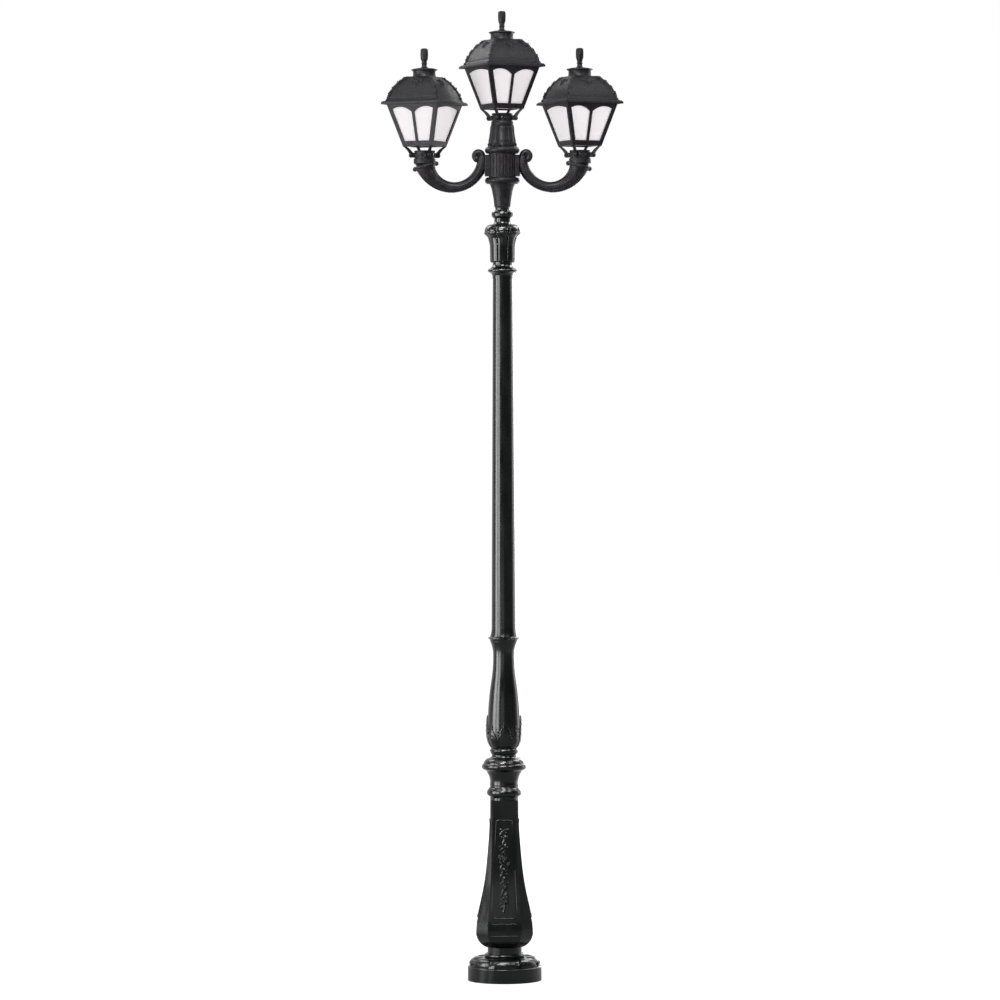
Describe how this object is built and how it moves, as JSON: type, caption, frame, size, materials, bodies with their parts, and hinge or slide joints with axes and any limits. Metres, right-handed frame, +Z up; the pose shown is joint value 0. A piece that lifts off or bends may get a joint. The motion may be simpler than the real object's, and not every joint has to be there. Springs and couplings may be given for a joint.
{
  "type": "triple head lamp post",
  "caption": "Tall garden lamp post: moulded column over a steel pipe, two curved arms and a crown that each carry a square tapered lantern with a lift-off roof.",
  "frame": {"origin": "middle of the foot, on the ground", "axes": "+Z up the column, the two arms along X, the front towards -Y"},
  "size_m": [0.8224, 0.2942, 3.298],
  "materials": {
    "column_black": "moulded black resin, satin gloss",
    "lantern_black": "moulded black resin, soft satin",
    "roof_black": "moulded black resin, fine grained matte",
    "opal_pane": "opal white, satin",
    "gasket_rubber": "matte",
    "steel_core": "galvanised",
    "screw_steel": "stainless",
    "tray_white": "white reflector paint",
    "holder_ceramic": "unglazed white",
    "lamp_glass": "frosted white globe lamp"
  },
  "bodies": {
    "column": {"ground_plate": "steel_core", "core_pipe": "steel_core", "pipe_reducer": "steel_core", "top_pipe": "steel_core", "base_plinth": "column_black", "pedestal_casing": "column_black", "pedestal_band": "column_black", "cushion_ring": "column_black", "baluster": "column_black", "shaft_tube": "column_black", "shaft_collar": "column_black", "capital": "column_black", "top_neck": "column_black", "hub_cone": "lantern_black", "hub_drum": "lantern_black", "hub_crown": "lantern_black", "arm_right": "lantern_black", "arm_left": "lantern_black", "arm_screws": "steel_core", "spigot_left": "steel_core", "spigot_middle": "steel_core", "spigot_right": "steel_core"},
    "head_left": {"lantern_foot_left": "lantern_black", "grub_screws_left": "screw_steel", "cage_left": "lantern_black", "diffuser_left": "opal_pane", "gasket_left": "gasket_rubber"},
    "lid_left": {"roof_left": "roof_black", "chimney_cap_left": "lantern_black", "finial_left": "lantern_black", "lamp_tray_left": "tray_white", "tray_screws_left": "screw_steel", "lampholder_left": "holder_ceramic", "lamp_left": "lamp_glass"},
    "head_middle": {"lantern_foot_middle": "lantern_black", "grub_screws_middle": "screw_steel", "cage_middle": "lantern_black", "diffuser_middle": "opal_pane", "gasket_middle": "gasket_rubber"},
    "lid_middle": {"roof_middle": "roof_black", "chimney_cap_middle": "lantern_black", "finial_middle": "lantern_black", "lamp_tray_middle": "tray_white", "tray_screws_middle": "screw_steel", "lampholder_middle": "holder_ceramic", "lamp_middle": "lamp_glass"},
    "head_right": {"lantern_foot_right": "lantern_black", "grub_screws_right": "screw_steel", "cage_right": "lantern_black", "diffuser_right": "opal_pane", "gasket_right": "gasket_rubber"},
    "lid_right": {"roof_right": "roof_black", "chimney_cap_right": "lantern_black", "finial_right": "lantern_black", "lamp_tray_right": "tray_white", "tray_screws_right": "screw_steel", "lampholder_right": "holder_ceramic", "lamp_right": "lamp_glass"}
  },
  "joints": [
    {"name": "head_left_turn", "type": "hinge", "parent": "column", "child": "head_left", "pos_m": [-0.26408, 0, 2.798], "axis": [0, 0, 1], "range_deg": [-180, 180]},
    {"name": "lid_left_lift", "type": "slide", "parent": "head_left", "child": "lid_left", "axis": [0, 0, 1], "range_m": [0, 0.08]},
    {"name": "head_middle_turn", "type": "hinge", "parent": "column", "child": "head_middle", "pos_m": [0, 0, 2.924], "axis": [0, 0, 1], "range_deg": [-180, 180]},
    {"name": "lid_middle_lift", "type": "slide", "parent": "head_middle", "child": "lid_middle", "axis": [0, 0, 1], "range_m": [0, 0.15]},
    {"name": "head_right_turn", "type": "hinge", "parent": "column", "child": "head_right", "pos_m": [0.26408, 0, 2.798], "axis": [0, 0, 1], "range_deg": [-180, 180]},
    {"name": "lid_right_lift", "type": "slide", "parent": "head_right", "child": "lid_right", "axis": [0, 0, 1], "range_m": [0, 0.08]}
  ]
}
